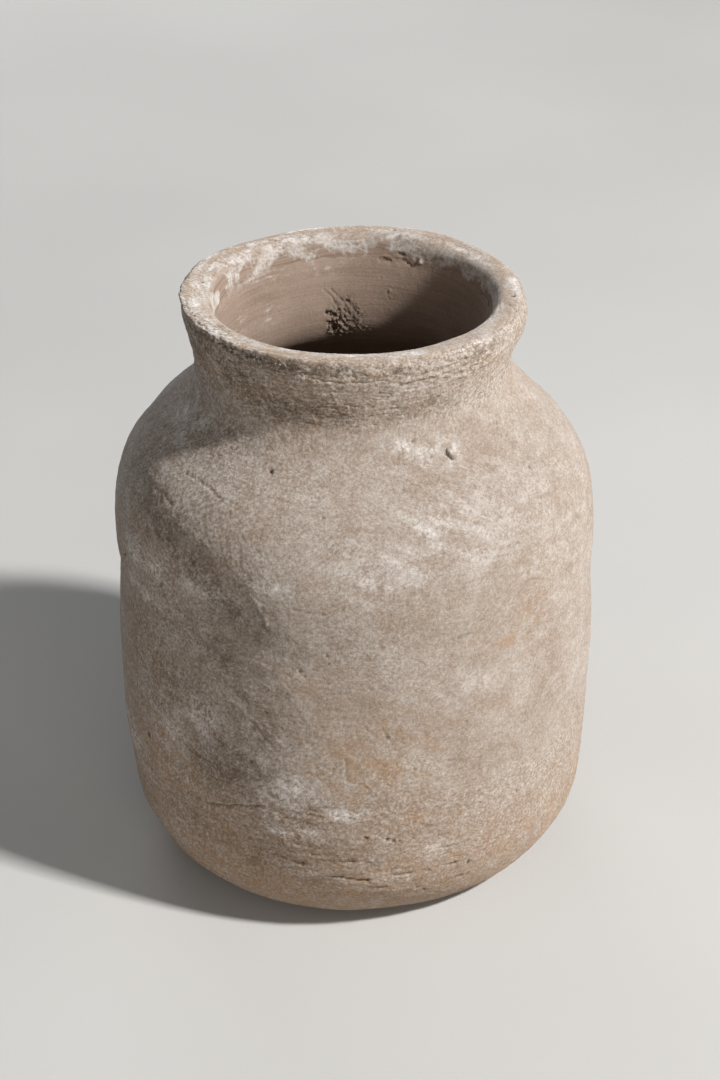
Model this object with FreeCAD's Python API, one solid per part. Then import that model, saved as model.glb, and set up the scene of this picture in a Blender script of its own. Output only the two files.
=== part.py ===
"""A hand-built stoneware vase, in millimetres, +Z up, with its origin at the centre of the foot.

The vase is raised in seven clay sections, one on another. The edges of each two sections that
meet are bevelled, rising towards the inside, and luted with a thin layer of slip. The inside is
brushed with one sealing coat. Every piece is a half-section in the XZ plane, turned about Z.
"""

import FreeCAD
import Part
import math
import os

# Driving dimensions
HEIGHT = 319.0  # foot to the top of the lip
FOOT_R = 88.0  # the flat ring and disc that the vase stands on
BELLY_R = 126.0  # widest, low on the body
SHOULDER_R = 123.0  # where the body turns in
NECK_R = 80.8  # narrowest, outside
LIP_R = 87.5  # outside of the lip
WALL = 11.5  # body and shoulder
FLOOR = 14.0
LIP_WIDTH = 16.5  # the lip across its top
SLIP = 0.8  # thickness of the luting slip in a joint
COAT = 0.8  # thickness of the sealing coat inside
BEVEL = 35.0  # degrees that a section's edge rises towards the inside
RIM_BEVEL = 8.0  # the rim coil is laid almost flat on the collar

# Heights up the outside
BELLY_Z = 102.0
SHOULDER_Z = 216.0
NECK_Z = 279.0
RIM_SEAM_Z = 309.0
COAT_TOP_Z = 308.5
SEAMS = [  # the slip joint's node, its height on the outside, and its bevel
    ("foot_slip_joint", 46.0, BEVEL),
    ("lower_wall_slip_joint", 103.0, BEVEL),
    ("middle_wall_slip_joint", 159.0, BEVEL),
    ("shoulder_slip_joint", 213.0, BEVEL),
    ("neck_slip_joint", 280.0, BEVEL),
    ("rim_slip_joint", RIM_SEAM_Z, RIM_BEVEL),
]
SECTIONS = [
    "base_bowl",
    "lower_wall",
    "middle_wall",
    "upper_wall",
    "shoulder",
    "neck_collar",
    "rim_coil",
]

LIP_OUTER_ROUND = 3.5
LIP_INNER_ROUND = 7.0
LIP_TOP_FALL = 1.2  # the lip's top falls this much towards the mouth
FLAT_FLOOR_R = 84.0
CLEAR_R = 50.0  # inside every wall above the base bowl
BEYOND = 20.0  # how far the cutting bands run past the vase
SKIN_STEPS = 40  # spans of the sealing coat's own surface


def at(radius, height):
    """A point of a half-section."""
    return FreeCAD.Vector(radius, 0, height)


def line(start, end):
    return Part.LineSegment(start, end).toShape()


def arc(start, middle, end):
    return Part.Arc(start, middle, end).toShape()


def spline(points):
    curve = Part.BSplineCurve()
    curve.interpolate(points)
    return curve


def outside_curve():
    """The outside from the foot's edge to the start of the lip's round."""
    rise = SHOULDER_Z - BELLY_Z
    return spline(
        [
            at(FOOT_R, 0),
            at(FOOT_R + 12, 5.2),
            at(BELLY_R - 14.2, 19),
            at(BELLY_R - 5.5, 38),
            at(BELLY_R - 1.6, 64),
            at(BELLY_R, BELLY_Z),
            at(BELLY_R - 0.2, BELLY_Z + 0.37 * rise),
            at(BELLY_R - 1.0, BELLY_Z + 0.72 * rise),
            at(SHOULDER_R, SHOULDER_Z),
            at(SHOULDER_R - 12.4, SHOULDER_Z + 26.5),
            at(NECK_R + 9.4, NECK_Z - 17),
            at(NECK_R, NECK_Z),
            at(NECK_R + 3.9, NECK_Z + 22),
            at(LIP_R, HEIGHT - LIP_OUTER_ROUND),
        ]
    )


def inside_curve():
    """The inside from the edge of the flat floor to the start of the lip's round."""
    bore = LIP_R - LIP_WIDTH
    return spline(
        [
            at(FLAT_FLOOR_R, FLOOR),
            at(FLAT_FLOOR_R + 14, FLOOR + 5.5),
            at(BELLY_R - WALL - 9, FLOOR + 18),
            at(BELLY_R - WALL - 4, FLOOR + 33),
            at(BELLY_R - WALL - 1.4, FLOOR + 54),
            at(BELLY_R - WALL, BELLY_Z),
            at(BELLY_R - WALL - 0.2, BELLY_Z + 42),
            at(BELLY_R - WALL - 1.0, BELLY_Z + 80),
            at(SHOULDER_R - WALL - 0.5, SHOULDER_Z - 8),
            at(SHOULDER_R - WALL - 9, SHOULDER_Z + 14),
            at(SHOULDER_R - WALL - 23, SHOULDER_Z + 29),
            at(NECK_R - 3, NECK_Z - 25),
            at(NECK_R - 11.3, NECK_Z - 13),
            at(NECK_R - 13.5, NECK_Z),
            at(NECK_R - 12.4, NECK_Z + 15),
            at(bore, HEIGHT - LIP_INNER_ROUND - LIP_TOP_FALL),
        ]
    )


def quarter_round(centre, radius, start_angle):
    """Three points of a quarter circle from start_angle, in degrees, turning from +X to +Z."""
    points = []
    for turn in (0, 45, 90):
        angle = math.radians(start_angle + turn)
        points.append(
            centre + at(radius * math.cos(angle), radius * math.sin(angle))
        )
    return points


def wall_face(outside, inside):
    """The whole fired clay wall as one half-section."""
    outer = quarter_round(
        at(LIP_R - LIP_OUTER_ROUND, HEIGHT - LIP_OUTER_ROUND), LIP_OUTER_ROUND, 0
    )
    inner = quarter_round(
        at(
            LIP_R - LIP_WIDTH + LIP_INNER_ROUND,
            HEIGHT - LIP_INNER_ROUND - LIP_TOP_FALL,
        ),
        LIP_INNER_ROUND,
        90,
    )
    edges = [
        line(at(0, 0), at(FOOT_R, 0)),
        outside.toShape(),
        arc(*outer),
        line(outer[-1], inner[0]),
        arc(*inner),
        inside.toShape(),
        line(at(FLAT_FLOOR_R, FLOOR), at(0, FLOOR)),
        line(at(0, FLOOR), at(0, 0)),
    ]
    return Part.Face(Part.Wire(Part.__sortEdges__(edges)))


def coat_face(inside):
    """The sealing coat as a half-section: a skin on the floor and the inside, up to COAT_TOP_Z."""
    first, last = inside.FirstParameter, inside.LastParameter
    skin = []
    for step in range(SKIN_STEPS + 1):
        parameter = first + (last - first) * step / SKIN_STEPS
        tangent = inside.tangent(parameter)[0]
        skin.append(inside.value(parameter) + COAT * at(-tangent.z, tangent.x))
    edges = [
        line(at(0, FLOOR), at(FLAT_FLOOR_R, FLOOR)),
        inside.toShape(),
        line(inside.value(last), skin[-1]),
        spline(skin).toShape(),
        line(skin[0], at(0, FLOOR + COAT)),
        line(at(0, FLOOR + COAT), at(0, FLOOR)),
    ]
    whole = Part.Face(Part.Wire(Part.__sortEdges__(edges)))
    brushed = polygon(
        [at(0, 0), at(BELLY_R, 0), at(BELLY_R, COAT_TOP_Z), at(0, COAT_TOP_Z)]
    )
    return whole.common(brushed).Faces[0]


def polygon(corners):
    return Part.Face(Part.makePolygon(corners + corners[:1]))


def seam_line(outside, height, bevel, lift):
    """The two ends of a joint's bevelled line, lifted by lift, from CLEAR_R to beyond the vase."""
    seam_r = radius_at(outside, height)
    slope = math.tan(math.radians(bevel))
    return [
        at(radius, height + lift + (seam_r - radius) * slope)
        for radius in (CLEAR_R, BELLY_R + BEYOND)
    ]


def radius_at(outside, height):
    """The outside's radius at a height."""
    level = line(at(0, height), at(BELLY_R + BEYOND, height))
    return level.distToShape(outside.toShape())[1][0][0].x


def bands(outside):
    """{node: the half-plane band that it fills}, for the sections and the slip joints."""
    lowest = [at(0, -BEYOND), at(BELLY_R + BEYOND, -BEYOND)]
    highest = [at(CLEAR_R, HEIGHT + BEYOND), at(BELLY_R + BEYOND, HEIGHT + BEYOND)]
    below = lowest
    found = {}
    for section, (joint, height, bevel) in zip(SECTIONS, SEAMS):
        under = seam_line(outside, height, bevel, -SLIP / 2)
        over = seam_line(outside, height, bevel, SLIP / 2)
        corners = below + under[::-1]
        if below is lowest:
            corners.append(at(0, under[0].z))
        found[section] = polygon(corners)
        found[joint] = polygon(under + over[::-1])
        below = over
    found[SECTIONS[-1]] = polygon(below + highest[::-1])
    return found


def turned(face):
    """The half-section turned once round the Z axis, as one solid."""
    solid = face.revolve(at(0, 0), FreeCAD.Vector(0, 0, 1), 360)
    return solid.Solids[0]


def main():
    os.makedirs("parts", exist_ok=True)
    outside = outside_curve()
    inside = inside_curve()
    wall = wall_face(outside, inside)
    nodes = {
        name: turned(wall.common(band).Faces[0])
        for name, band in bands(outside).items()
    }
    nodes["inner_seal_coat"] = turned(coat_face(inside))
    for name, solid in nodes.items():
        solid.exportStep("parts/" + name + ".step")
        print(name, round(solid.Volume / 1000, 1), "cm3", solid.isValid())


main()
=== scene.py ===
"""How the stoneware vase looks: hand-worked meshes and materials for its clay sections, its slip
joints and the coat inside.

Lengths are in millimetres until a mesh is made. A place on the wall is a turn about the axis, in
degrees from +X, so that -90 is the front, and a distance along the skin. The skin runs from the
centre of the foot up the outside, over the lip and down the inside to the centre of the floor.
"""
import math

import bpy
import numpy as np
from mathutils import Matrix, Vector
from mathutils.bvhtree import BVHTree


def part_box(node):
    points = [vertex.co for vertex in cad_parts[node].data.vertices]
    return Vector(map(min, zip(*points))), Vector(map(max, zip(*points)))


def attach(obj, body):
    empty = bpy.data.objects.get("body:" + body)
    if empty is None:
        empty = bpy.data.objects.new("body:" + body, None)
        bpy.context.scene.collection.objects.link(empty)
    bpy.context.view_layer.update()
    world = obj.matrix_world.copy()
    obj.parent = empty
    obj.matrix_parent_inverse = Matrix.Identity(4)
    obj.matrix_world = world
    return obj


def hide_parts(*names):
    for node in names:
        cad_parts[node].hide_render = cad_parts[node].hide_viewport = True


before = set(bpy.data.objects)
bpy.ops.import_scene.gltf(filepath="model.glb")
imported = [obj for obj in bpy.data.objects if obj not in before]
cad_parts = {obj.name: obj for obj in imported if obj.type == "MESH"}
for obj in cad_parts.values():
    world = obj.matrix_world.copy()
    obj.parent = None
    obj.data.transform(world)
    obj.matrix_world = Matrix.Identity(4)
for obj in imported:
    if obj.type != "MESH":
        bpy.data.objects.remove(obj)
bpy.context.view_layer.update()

MM = 0.001

SECTIONS = [
    "base_bowl",
    "lower_wall",
    "middle_wall",
    "upper_wall",
    "shoulder",
    "neck_collar",
    "rim_coil",
]
JOINTS = [
    "foot_slip_joint",
    "lower_wall_slip_joint",
    "middle_wall_slip_joint",
    "shoulder_slip_joint",
    "neck_slip_joint",
    "rim_slip_joint",
]
COAT_NODE = "inner_seal_coat"
SLIP = 0.8  # height of a slip joint where it shows
RIM_STRAY = -0.5, 3.5  # how far below and above its level the topmost joint may run
COAT = 0.8  # thickness of the coat inside

LIP_ROUND = 3.5  # radius of the lip's rounding on the outside
LIP_IN, LIP_DOWN = 8.5, 5.5  # from the lip's outer edge and its top to a place inside it
LIP_NEAR = 20.0  # how far from its top, along the skin, the lip's edges are looked for
LIP_LEVEL = 0.7  # how level the skin is where it counts as the lip's top
COAT_RAGGED = 6.0  # how far down the coat's ragged edge comes
DUG_ROOM, DUG_SPREAD = 2.5, 1.5  # depth of the room behind the gouged patch, and its spread

LINE_STEP, LIP_STEP = 0.5, 3  # millimetres between rays up the wall, and degrees round the lip
LINE_START, FLOOR_CLEAR = 0.02, 0.3  # how far above the foot and the floor the rays start and end
RAY_TURNS = np.arange(0.05, 2 * math.pi, 0.4)  # radians
SKIN_END = 0.5  # how far from either end of the skin its places stay

COLUMNS, COAT_COLUMNS = 960, 720
TURNS = np.linspace(-180, 180, COLUMNS, endpoint=False)
FINE, FINER, COARSE = 0.84, 0.52, 6.0  # spacing of a mesh's rows: shown, shown close to, hidden
UNDER_FOOT, COAT_FINE, COAT_COARSE, COAT_FLOOR, COAT_BACK = 9, 0.8, 4.5, 7, 13  # more spacings
COAT_NECK, COAT_LOW = 250, 30  # heights where the coat's spacing changes
COAT_SUNK, COAT_LAP = 0.4, 0.3  # how deep the coat's back lies, and how far below its edge it starts
MOST_ROWS, FOOT_ROWS = 84, 60  # most rows of a section's outside, and of the first one's
JOINT_ROWS = 2  # rows across the face of a joint
FOOT_TOP, FOOT_IN = 0.05, 4.0  # height of the foot's edge, and how far in its fine rows start
POLE = 4.0  # how far from the axis the rows of a floor stop
UNROLLED_R = 110.0  # radius of the cylinder that strokes and streaks are laid out on
UP = np.array([0, 0, 1])

# The layout of the baked texture: segments of a strip of rows, stacked
BAKE_LAYER = "OFBake"
SEGMENTS = 4
MARGIN = 0.01
CAP_SHARE, FACE_SHARE = 3.0, 0.5  # height of a cap's row, and of a row on the face of a joint
HIDDEN_SHARE = 0.15  # how much of their height hidden rows get


# ---------------------------------------------------------------- the CAD wall's skin as a line


def cad_tree(names):
    """CAD nodes as one tree of faces, in millimetres, to measure with rays."""
    points, faces = [], []
    for name in names:
        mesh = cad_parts[name].data
        first = len(points)
        points += [v.co / MM for v in mesh.vertices]
        faces += [[first + k for k in face.vertices] for face in mesh.polygons]
    return BVHTree.FromPolygons(points, faces)


def reach(tree, middle, way, start=None):
    """How far the skin is from middle along way, both in the (radius, height) plane. Facets only
    lie inside the true round, so it is the furthest of several turns. With start, the rays come
    back from that far out."""
    found = []
    for turn in RAY_TURNS:
        flat = Vector((math.cos(turn), math.sin(turn), 0))
        ray = flat * way[0] + Vector((0, 0, way[1]))
        centre = flat * middle[0] + Vector((0, 0, middle[1]))
        if start is None:
            hit = tree.ray_cast(centre, ray)[0]
        else:
            hit = tree.ray_cast(centre + ray * start, -ray)[0]
        if hit is not None:
            found.append((hit - centre).length)
    return max(found)


def measured_line():
    """(radius, height) points of the skin, measured on the CAD sections."""
    wall, rim = cad_tree(SECTIONS + JOINTS), cad_tree(["rim_coil"])
    lip_r, top = (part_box("rim_coil")[1] / MM).xz
    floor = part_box(COAT_NODE)[0].z / MM
    middle = (lip_r - LIP_IN, top - LIP_DOWN)
    heights = np.arange(LINE_START, middle[1], LINE_STEP)
    outside = [(reach(wall, (0, z), (1, 0), 2 * lip_r), z) for z in heights]
    lip = []
    for angle in np.radians(np.arange(0, 181, LIP_STEP)):
        way = np.array([math.cos(angle), math.sin(angle)])
        lip.append(middle + reach(rim, middle, way) * way)
    heights = np.arange(middle[1], floor + FLOOR_CLEAR, -LINE_STEP)
    inside = [(reach(wall, (0, z), (1, 0)), z) for z in heights]
    return np.vstack([(0, 0), outside, lip, inside, (0, inside[-1][1])])


class Skin:
    """The skin's line at even steps, smoothed over the CAD mesh's facets, with its normal. Its
    methods give distances along the skin."""

    STEP = 0.25
    SMOOTH = 1.0

    def __init__(self, points):
        length = np.append(0, np.cumsum(np.hypot(*np.diff(points, axis=0).T)))
        keep = np.append(True, np.diff(length) > 1e-6)
        points, length = points[keep], length[keep]
        self.s = np.arange(0, length[-1], self.STEP)
        r, z = (np.interp(self.s, length, column) for column in points.T)
        self.r, self.z = self.smoothed(r), self.smoothed(z)
        along_r, along_z = np.gradient(self.r), np.gradient(self.z)
        size = np.hypot(along_r, along_z)
        self.normal_r, self.normal_z = along_z / size, -along_r / size
        self.top = int(np.argmax(self.z))

    def smoothed(self, values):
        """values after a Gaussian blur of SMOOTH millimetres that keeps both ends."""
        span = int(4 * self.SMOOTH / self.STEP)
        weight = np.exp(-0.5 * (np.arange(-span, span + 1) * self.STEP / self.SMOOTH) ** 2)
        before = 2 * values[0] - values[span:0:-1]
        after = 2 * values[-1] - values[-2 : -span - 2 : -1]
        return np.convolve(np.hstack([before, values, after]), weight / weight.sum(), "valid")

    def outside(self, height):
        """The place at a height on the outside."""
        return np.interp(height, self.z[: self.top], self.s[: self.top])

    def inside(self, height):
        """The place at a height on the inside."""
        return np.interp(height, self.z[self.top :][::-1], self.s[self.top :][::-1])

    def over_lip(self, radius):
        """The place at a radius on the lip's top."""
        gap = np.where(self.normal_z > LIP_LEVEL, np.abs(self.r - radius), np.inf)
        return self.near_top(gap)

    def lip_edge(self, side):
        """The middle of the lip's rounding on the outside (side 1) or the inside (side -1)."""
        return self.near_top(np.abs(self.normal_r * side - self.normal_z))

    def near_top(self, values):
        """The place near the lip's top where values are least."""
        lip = np.abs(self.s - self.s[self.top]) < LIP_NEAR
        return self.s[np.where(lip, values, np.inf).argmin()]


SKIN = Skin(measured_line())
LIP_OUTER, LIP_INNER = SKIN.lip_edge(1), SKIN.lip_edge(-1)
COAT_TOP = SKIN.inside(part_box(COAT_NODE)[1].z / MM)


# ---------------------------------------------------------------- noise


def lattice(cell, seed):
    """A pseudo-random whole number for each lattice point, by a hash of odd constants."""
    x, y, z = (cell[..., k].astype(np.int64).astype(np.uint32) for k in range(3))
    mixed = x * np.uint32(374761393) + y * np.uint32(668265263) + z * np.uint32(2246822519)
    mixed += np.uint32(seed * 144269 + 7)
    mixed = (mixed ^ (mixed >> np.uint32(13))) * np.uint32(1274126177)
    mixed = (mixed ^ (mixed >> np.uint32(15))) * np.uint32(2654435761)
    return mixed ^ (mixed >> np.uint32(16))


def noise(points, size, seed=0):
    """Smooth gradient noise, from about -1 to 1, with lumps of that size along each axis."""
    scaled = points / np.asarray(size, float)
    low = np.floor(scaled)
    part = scaled - low
    fade = part**3 * (part * (part * 6 - 15) + 10)
    total = np.zeros(points.shape[:-1])
    for corner in range(8):
        step = np.array([corner & 1, corner >> 1 & 1, corner >> 2], float)
        picked = lattice(low + step, seed)
        away = part - step
        slopes = [(picked >> np.uint32(10 * k) & np.uint32(1023)) / 511.5 - 1 for k in range(3)]
        share = np.prod(np.where(step > 0, fade, 1 - fade), axis=-1)
        total += share * sum(slope * away[..., k] for k, slope in enumerate(slopes))
    return total * 1.7


def smoothstep(value, low, high):
    """0 up to low, 1 from high on, and smooth between."""
    part = np.clip((value - low) / (high - low), 0, 1)
    return part * part * (3 - 2 * part)


def bell(distance, width):
    """1 at no distance, falling to 0 over width."""
    return np.exp(-((distance / width) ** 2))


def ring(turns):
    """Points on the unrolled cylinder, at no height, to take noise from."""
    angle = np.radians(turns)
    return np.stack([np.cos(angle), np.sin(angle), 0 * angle], axis=-1) * UNROLLED_R


# ---------------------------------------------------------------- places on the wall


class Places:
    """Places on the smooth skin: turns in degrees and distances along the skin, as one grid."""

    def __init__(self, turn, s):
        self.turn, self.s = np.broadcast_arrays(turn, s)
        angle = np.radians(self.turn)
        self.cos, self.sin = np.cos(angle), np.sin(angle)
        self.r = np.interp(self.s, SKIN.s, SKIN.r)
        self.z = np.interp(self.s, SKIN.s, SKIN.z)
        self.point = self.swept(self.r, self.z)
        self.unrolled = self.swept(np.full_like(self.r, UNROLLED_R), self.s)
        self.normal = self.swept(
            np.interp(self.s, SKIN.s, SKIN.normal_r), np.interp(self.s, SKIN.s, SKIN.normal_z)
        )
        self.is_outside = self.s < SKIN.s[SKIN.top]

    def swept(self, radius, height):
        """Vectors with that radius and height at each turn."""
        return np.stack([radius * self.cos, radius * self.sin, height], axis=-1)

    def arc_from(self, turn):
        """The distance round the wall from a turn, in millimetres."""
        degrees = (self.turn - turn + 180) % 360 - 180
        return np.radians(degrees) * self.r

    def side(self, turn, half_width):
        """1 at a turn and falling to 0 over half_width round the wall."""
        return bell(self.arc_from(turn), half_width)

    def lump(self, turn, s, half_width, half_height):
        """1 at a place and falling to 0 over half_width round the wall and half_height along it."""
        across = self.arc_from(turn) / half_width
        up = (self.s - s) / half_height
        return np.exp(-(across**2) - up**2)

    def lump_inside(self, turn, height, half_width, half_height):
        """The same at a height on the inside."""
        return self.lump(turn, SKIN.inside(height), half_width, half_height)

    def band(self, low, high, soft):
        """1 between two heights, falling to 0 over soft millimetres."""
        return smoothstep(self.z, low - soft, low) * (1 - smoothstep(self.z, high, high + soft))

    def near_path(self, path, margin):
        """Which places are near a path of (turn, s) points, and the path in millimetres there."""
        turns, distances = np.array(path, float).T
        middle = (turns[0] + turns[-1]) / 2
        low, high = distances.min() - margin, distances.max() + margin
        radius = np.interp(distances.mean(), SKIN.s, SKIN.r)
        half = math.radians(np.ptp(turns) / 2) * radius + margin
        around = self.arc_from(middle)
        near = (np.abs(around) < half) & (self.s > low) & (self.s < high)
        line = np.stack([np.radians(turns - middle) * radius, distances], axis=1)
        here = np.stack([around[near] * radius / self.r[near], self.s[near]], axis=1)
        return near, line, here


def distance_to_line(here, line):
    """The distance of each of the points here from a line of several straight runs."""
    best = np.full(len(here), np.inf)
    for start, end in zip(line[:-1], line[1:]):
        run = end - start
        part = np.clip((here - start) @ run / (run @ run), 0, 1)
        away = here - start - part[:, None] * run
        best = np.minimum(best, np.hypot(*away.T))
    return best


def cut(places, path, width, depth, wander=0.8, broken=0.0, seed=0):
    """How deep a cut along a path of (turn, s) points goes at each place. It wanders a little, and
    broken, from 0 to 1, says how much of its length has closed up."""
    deep = np.zeros(places.s.shape)
    near, line, here = places.near_path(path, 4 * width + 2 * wander)
    if near.any():
        point = places.point[near]
        here[:, 0] += wander * (noise(point, 5, seed) + 0.5 * noise(point, 1.8, seed + 4))
        here[:, 1] += wander * (noise(point, 4, seed + 1) + 0.5 * noise(point, 1.6, seed + 5))
        gap = distance_to_line(here, line) / (width * (1 + 0.5 * noise(point, 2.4, seed + 2)))
        shut = smoothstep(noise(point, 9, seed + 3) + 0.9 - 1.8 * broken, -0.3, 0.3)
        deep[near] = depth * np.exp(-(gap**2)) * shut
    return deep


def pitted(places, pits, seed=0):
    """How deep round pits of (turn, s, radius, depth) go at each place."""
    deep = np.zeros(places.s.shape)
    low, high = places.s.min(), places.s.max()
    for k, (turn, s, radius, depth) in enumerate(pits):
        if s < low - 3 * radius or s > high + 3 * radius:
            continue
        around, up = places.arc_from(turn), places.s - s
        near = (np.abs(around) < 3 * radius) & (np.abs(up) < 3 * radius)
        if near.any():
            gap = np.hypot(around[near], up[near]) / radius
            gap *= 1 + 0.45 * noise(places.point[near], 1.1 * radius, seed + k)
            deep[near] = np.maximum(deep[near], depth * np.exp(-(gap**3)))
    return deep


# ---------------------------------------------------------------- how the vase was worked and worn

# Swells and hollows of the outside: turn, height, half-width, half-height, lift
SWELLS = [
    (34, 250, 30, 8, -3.0),
    (20, 239, 32, 9, -2.0),
    (8, 229, 30, 8, -0.8),
    (-4, 304, 40, 9, 1.9),
    (12, 318, 30, 4, -1.0),
    (160, 318, 26, 5, 1.6),
    (-170, 166, 26, 12, -1.6),
    (-160, 52, 28, 12, -1.3),
    (-142, 18, 26, 8, 1.3),
    (158, 241, 34, 9, -1.6),
    (-160, 302, 22, 8, -1.4),
    (-12, 316, 26, 6, -1.2),
    (0, 163, 30, 14, -1.1),
    (-168, 30, 44, 18, 1.6),
    (-14, 34, 44, 18, 1.8),
    (-121, 193, 19, 15, -2.0),
    (-134, 203, 28, 18, -1.9),
    (-128, 158, 26, 30, -0.9),
    (-146, 229, 34, 15, 1.3),
    (-166, 168, 30, 15, -1.2),
    (-174, 148, 26, 12, -0.8),
    (-104, 226, 30, 18, 0.5),
    (-96, 150, 34, 34, -0.6),
    (-100, 92, 20, 14, 0.5),
    (-62, 196, 34, 24, -0.5),
    (-38, 118, 44, 34, 0.6),
    (-12, 214, 30, 16, -0.5),
    (22, 176, 36, 26, -1.1),
    (40, 90, 40, 30, 0.7),
    (78, 140, 44, 32, -0.9),
    (96, 222, 34, 16, 0.9),
    (128, 84, 38, 26, -0.8),
    (150, 190, 36, 22, 0.9),
]
# The longest paths of (turn, height): a fold of clay along a cut, a crack and a tear
FOLD = [(-114.4, 206.6), (-112.6, 203.4), (-111.9, 199)]
FOLD += [(-110.5, 195.4), (-110.4, 191), (-109.6, 188.7)]
COLLAR_CRACK = [(-141.9, 248.4), (-137.5, 248.2), (-133.5, 247.9), (-129.5, 246.4), (-125.4, 244.9)]
LOW_TEAR = [(-128.5, 73.4), (-126.5, 74.4), (-123.1, 76.6), (-118, 80.9), (-111.7, 84.4)]
# Cuts, folds and cracks of the outside: path of (turn, height), width, depth, how broken
CUTS = [
    ([(turn - 0.6, height) for turn, height in FOLD], 0.6, 0.7, 0.1),
    ([(-109.8, 187), (-108.6, 180)], 0.5, 0.3, 0.3),
    (COLLAR_CRACK, 0.6, 0.65, 0.0),
    ([(-125.4, 244.9), (-119.5, 245.2), (-114.1, 246.1)], 0.45, 0.3, 0.2),
    ([(-145, 238.2), (-142.6, 236.4), (-140.5, 235.3)], 0.6, 0.45, 0.1),
    ([(-58.8, 265.7), (-58.4, 264.1), (-57.7, 262.4)], 0.75, 2.1, 0.0),
    ([(-59.6, 264.6), (-59.0, 263.4)], 0.5, 1.2, 0.0),
    ([(-96.5, 43.6), (-94, 43.9), (-91, 42.1), (-87.3, 40.8)], 0.65, 1.0, 0.15),
    ([(-87.3, 41.2), (-84, 43.6), (-79, 43.5), (-72.2, 43.4)], 0.55, 0.8, 0.4),
    ([(-70.5, 43.8), (-65.4, 44.3), (-61.5, 41.8)], 0.55, 0.8, 0.5),
    (LOW_TEAR, 0.6, 0.9, 0.3),
    ([(-110, 84.6), (-104, 84.5), (-98, 83.4)], 0.5, 0.6, 0.45),
    ([(-120, 75.9), (-117.5, 69), (-115.3, 63.5)], 0.6, 0.5, 0.4),
    ([(-122, 52.4), (-116, 55.5), (-110.1, 56.5)], 0.6, 0.7, 0.45),
    ([(-110, 54.4), (-106, 52.6), (-103, 50.7)], 0.65, 0.9, 0.3),
    ([(-101, 87), (-95.5, 84.9), (-90.5, 82.6)], 0.5, 0.5, 0.4),
    ([(-112, 22.5), (-108, 22.8)], 0.5, 0.6, 0.2),
    ([(-134.5, 21), (-131.5, 20), (-127.6, 18.6)], 0.6, 0.7, 0.4),
    ([(-83.5, 134), (-82.9, 130.9), (-81.8, 127)], 0.5, 0.5, 0.3),
    ([(-92.6, 119), (-92.2, 112.9), (-93, 107)], 0.5, 0.5, 0.35),
    ([(-120.5, 132), (-119.5, 140)], 0.6, 0.35, 0.4),
    ([(-161.3, 188.4), (-159.6, 190.8)], 0.9, 0.9, 0.0),
    ([(-142.0, 191.4), (-141.0, 193.6)], 0.8, 0.8, 0.0),
    ([(-69, 252.5), (-63, 253.5), (-58, 254.4)], 0.5, 0.25, 0.3),
    ([(-35.7, 211.7), (-31.6, 209.6), (-29.8, 205), (-27.8, 200.5)], 0.5, 0.4, 0.2),
    ([(-104, 203), (-97, 201.5)], 0.5, 0.25, 0.3),
    ([(-89, 298), (-84, 299.5), (-79, 298.4)], 0.7, 0.6, 0.4),
    ([(-130, 287), (-118, 284.5), (-104, 282)], 0.6, 0.35, 0.6),
    ([(20, 58), (31, 56.5), (44, 58)], 0.7, 0.8, 0.5),
    ([(70, 47), (84, 48.5), (96, 47)], 0.7, 0.8, 0.5),
    ([(118, 162), (123, 158), (131, 157)], 0.6, 0.5, 0.3),
    ([(150, 66), (158, 64), (163, 66)], 0.7, 0.7, 0.4),
    ([(52, 236), (60, 233), (72, 234)], 0.6, 0.4, 0.3),
]
# Ridges of clay smeared up under the right of the lip: path of (turn, height), width, lift
SMEARS = [
    (FOLD, 0.7, 0.6),
    ([(-115, 168.6), (-112.3, 169.2), (-110, 167.4)], 0.7, 0.5),
    ([(-66, 311.4), (-52, 313.2), (-40, 315.6), (-28, 318.2)], 1.2, 1.1),
    ([(-74, 307.4), (-56, 308.8), (-42, 311.6), (-26, 315.8), (-16, 318)], 1.1, 1.0),
    ([(-62, 305.4), (-50, 306.4), (-38, 309.6), (-24, 313)], 1.2, 0.8),
    ([(-54, 302), (-44, 303.6), (-32, 307), (-16, 311)], 1.3, 0.8),
    ([(-80, 314), (-66, 315.2), (-54, 317.4)], 0.9, 0.7),
    ([(-124, 315), (-108, 314.2), (-92, 313), (-76, 313.6)], 1.2, 0.5),
    ([(30, 311), (60, 313.5), (95, 312)], 1.4, 0.8),
    ([(120, 309), (146, 311.5), (168, 315)], 1.3, 0.8),
]
# The crease under the lip: turn, height, depth
CREASE = [
    (-180, 317.6, 0.4),
    (-163, 318.2, 0.8),
    (-150, 316.9, 1.1),
    (-139, 314.6, 1.0),
    (-128, 312.4, 1.1),
    (-117, 311.2, 1.0),
    (-106, 310.2, 0.6),
    (-94, 308.0, 0.9),
    (-82, 308.4, 0.6),
    (-66, 310.0, 0.3),
    (-40, 309.0, 0.0),
    (0, 309.4, 0.2),
    (40, 308.4, 0.6),
    (90, 309.6, 0.4),
    (135, 311.6, 0.7),
    (165, 316.0, 0.5),
    (180, 317.6, 0.4),
]
CREASE_TURNS, CREASE_HEIGHTS, CREASE_DEPTHS = np.array(CREASE, float).T
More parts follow.
